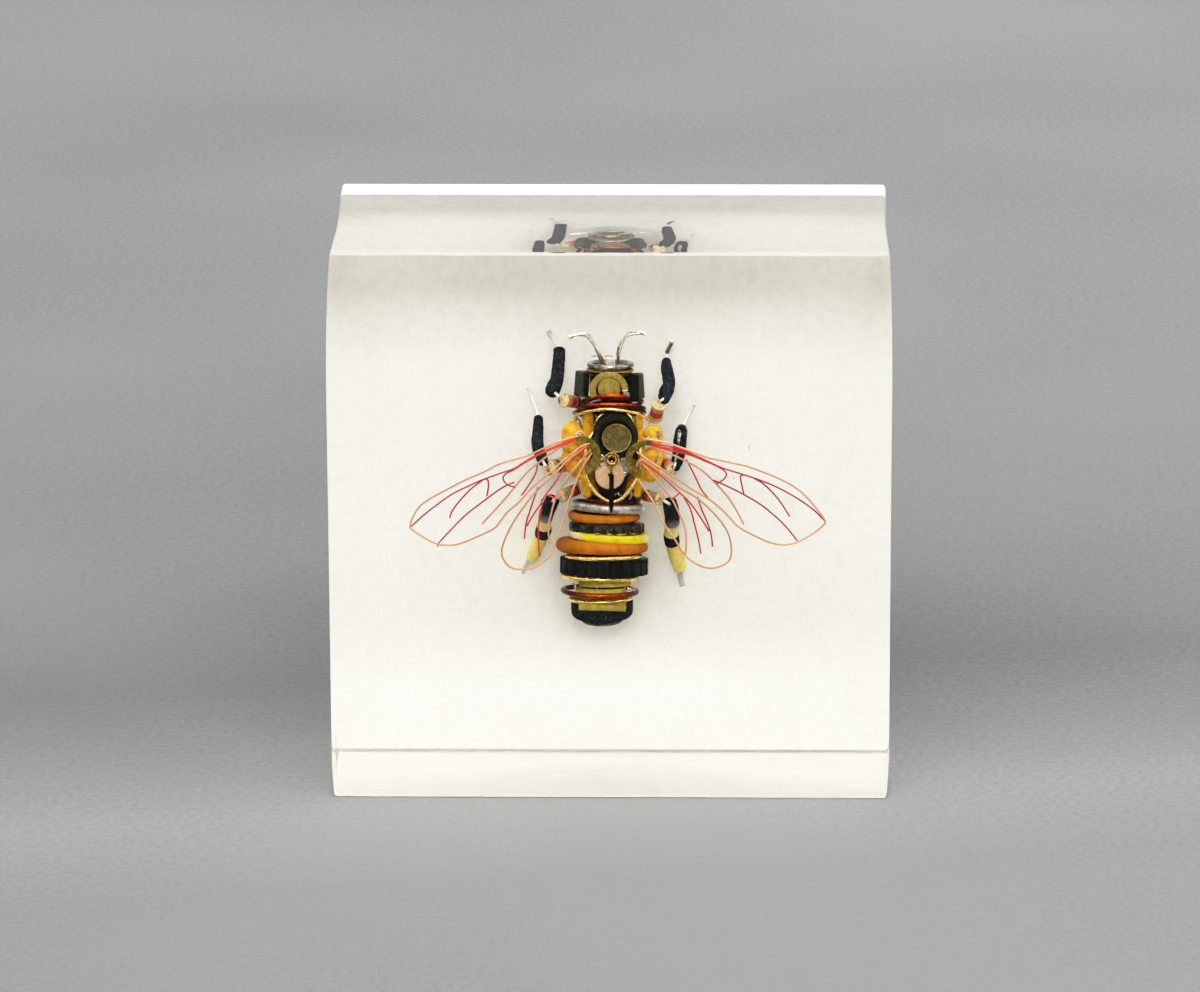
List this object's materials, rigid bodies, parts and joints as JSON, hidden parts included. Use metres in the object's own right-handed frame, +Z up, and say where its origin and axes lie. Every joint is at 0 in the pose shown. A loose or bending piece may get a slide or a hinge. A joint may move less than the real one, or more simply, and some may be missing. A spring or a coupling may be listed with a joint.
{
  "type": "model bee of electronic and watch parts in a resin block",
  "caption": "Rectangular block of clear resin with a white back layer, holding a model bee made of rings, gears and wire; stands on its bottom face.",
  "frame": {"origin": "middle of the bottom face, on the surface that the block stands on", "axes": "+Z up, -Y out of the clear window face, +X to the viewer's right, +Y to the white back"},
  "size_m": [0.0752, 0.038, 0.076],
  "materials": {
    "clear_resin": "clear casting resin, polished, faint warm tint, IOR 1.55",
    "white_resin": "opaque white casting resin, polished outside",
    "brass": "watch wheels, rings and bridges in aged and bright brass",
    "copper_wheel": "pink copper-coloured watch wheel with fine teeth",
    "copper_wire": "thin bare copper wire of the wing outlines",
    "tinned_wire": "tinned component leads and solder-grey rings",
    "red_enamel_wire": "red-brown enamelled winding wire, glossy",
    "black_sleeve": "matt black insulating sleeve",
    "yellow_sleeve": "yellow and ochre insulation, matt",
    "orange_ring": "orange-brown rubber rings",
    "yellow_ring": "bright greenish-yellow plastic ring",
    "dark_component": "dark green-black moulded components and gears",
    "resistor_body": "tan lacquered resistor bodies with plain colour bands"
  },
  "bodies": {
    "root": {"clear_resin_block": "clear_resin", "white_backing": "white_resin"}
  },
  "joints": []
}
